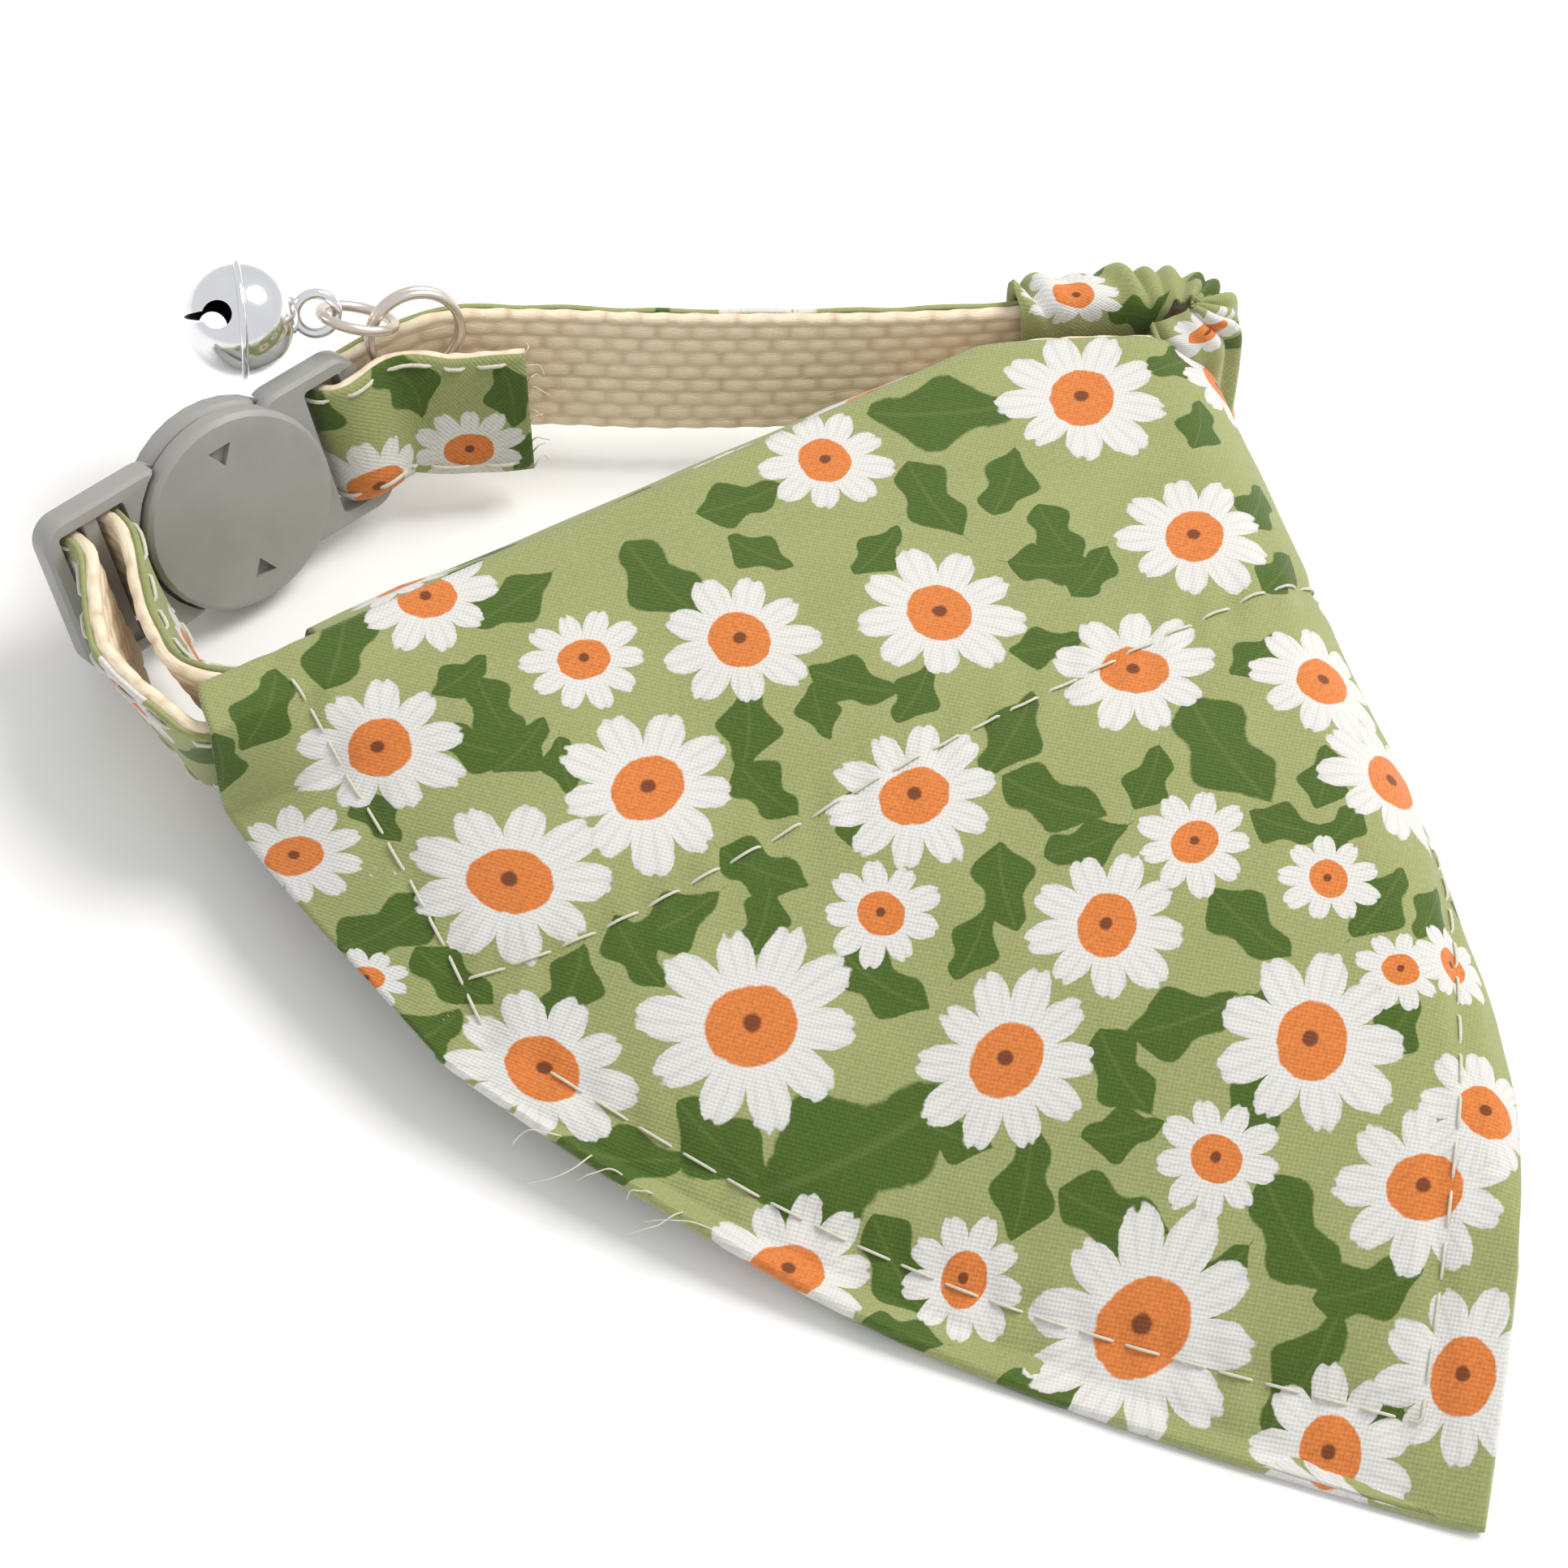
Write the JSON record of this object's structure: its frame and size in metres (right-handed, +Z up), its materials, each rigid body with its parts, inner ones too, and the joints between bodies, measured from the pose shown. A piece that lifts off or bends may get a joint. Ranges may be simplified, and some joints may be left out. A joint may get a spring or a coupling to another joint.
{
  "type": "pet bandana collar",
  "caption": "Fabric pet collar closed by a round snap clasp, with a bell on a ring and a printed triangular bandana whose channel the strap runs through.",
  "frame": {"origin": "centre of the footprint at the table, the collar lying as it rests on its lower strap edge with the bandana spread in front", "axes": "+Z up, +X to the right and +Y away from the viewer in the usual view, the bandana's tip pointing to -Y"},
  "size_m": [0.1005, 0.0961, 0.0202],
  "materials": {
    "print": "printed cotton, plain weave",
    "webbing": "cotton webbing, coarse weave",
    "plastic": "moulded, fine matte",
    "nickel": "plated wire",
    "bell": "bright plated"
  },
  "bodies": {
    "root": {"strap": "webbing", "clasp_left_half": "plastic", "clasp_right_half": "plastic", "ring": "nickel", "link": "nickel", "bell": "bell", "bandana": "print"}
  },
  "joints": []
}
